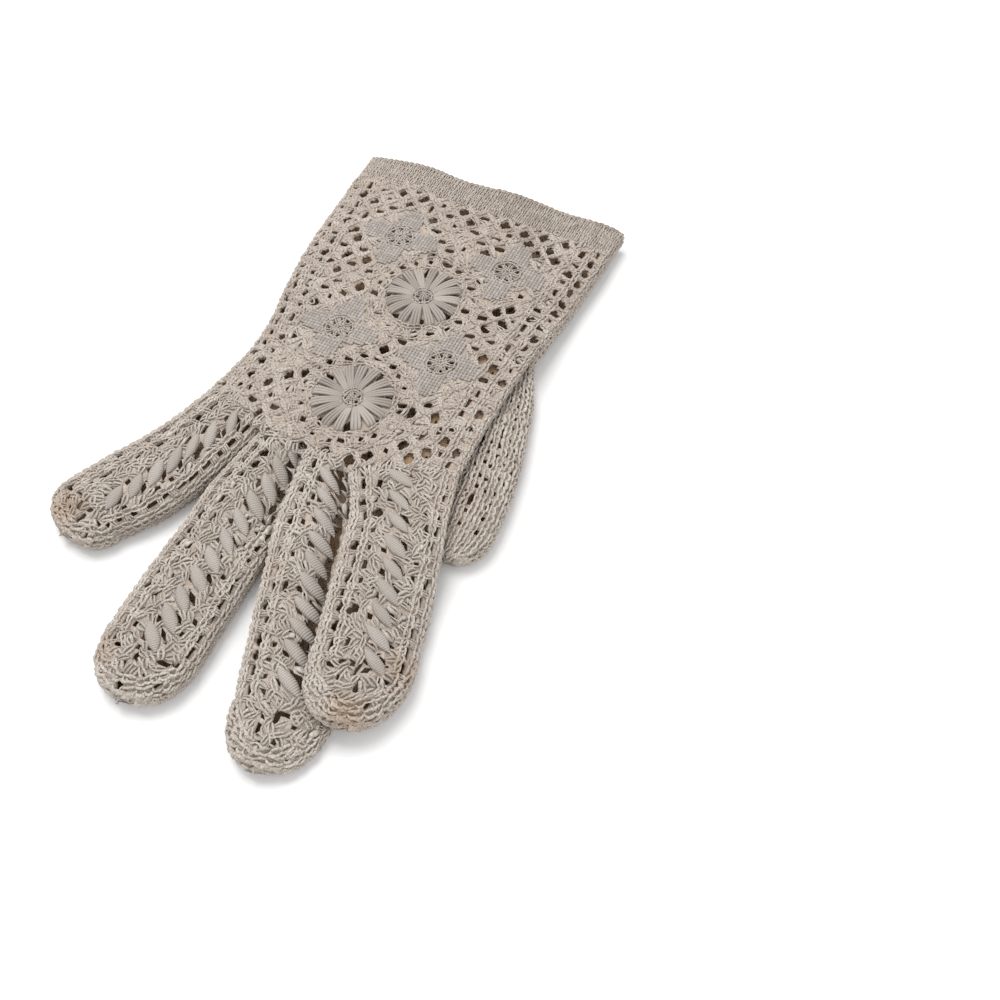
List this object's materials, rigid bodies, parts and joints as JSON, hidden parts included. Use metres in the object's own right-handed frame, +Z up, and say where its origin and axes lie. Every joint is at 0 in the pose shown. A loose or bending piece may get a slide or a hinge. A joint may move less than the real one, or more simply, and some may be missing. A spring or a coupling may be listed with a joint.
{
  "type": "crochet glove",
  "caption": "Right-hand dress glove of crocheted cotton lace, lying palm down, hollow and open at the wrist, with rosettes on the back and leaf strips on the fingers.",
  "frame": {"origin": "under the middle of the glove's box, on the surface that it rests on", "axes": "+Z up, away from the surface; the fingers point along -Y and the cuff opens along +Y; the thumb lies on the +X side"},
  "size_m": [0.1181, 0.208, 0.0144],
  "materials": {
    "crochet_cotton": "matt ecru cotton thread, crocheted",
    "woven_cotton": "matt pale ecru cotton thread, needle-woven"
  },
  "bodies": {
    "root": {"cuff_band": "crochet_cotton", "back_panel": "crochet_cotton", "palm_panel": "crochet_cotton", "index_finger": "crochet_cotton", "middle_finger": "crochet_cotton", "ring_finger": "crochet_cotton", "little_finger": "crochet_cotton", "thumb": "crochet_cotton", "rosette_upper": "woven_cotton", "rosette_lower": "woven_cotton", "flower_upper_left": "woven_cotton", "flower_upper_right": "woven_cotton", "flower_lower_left": "woven_cotton", "flower_lower_right": "woven_cotton", "index_leaves": "woven_cotton", "middle_leaves": "woven_cotton", "ring_leaves": "woven_cotton", "little_leaves": "woven_cotton"}
  },
  "joints": []
}
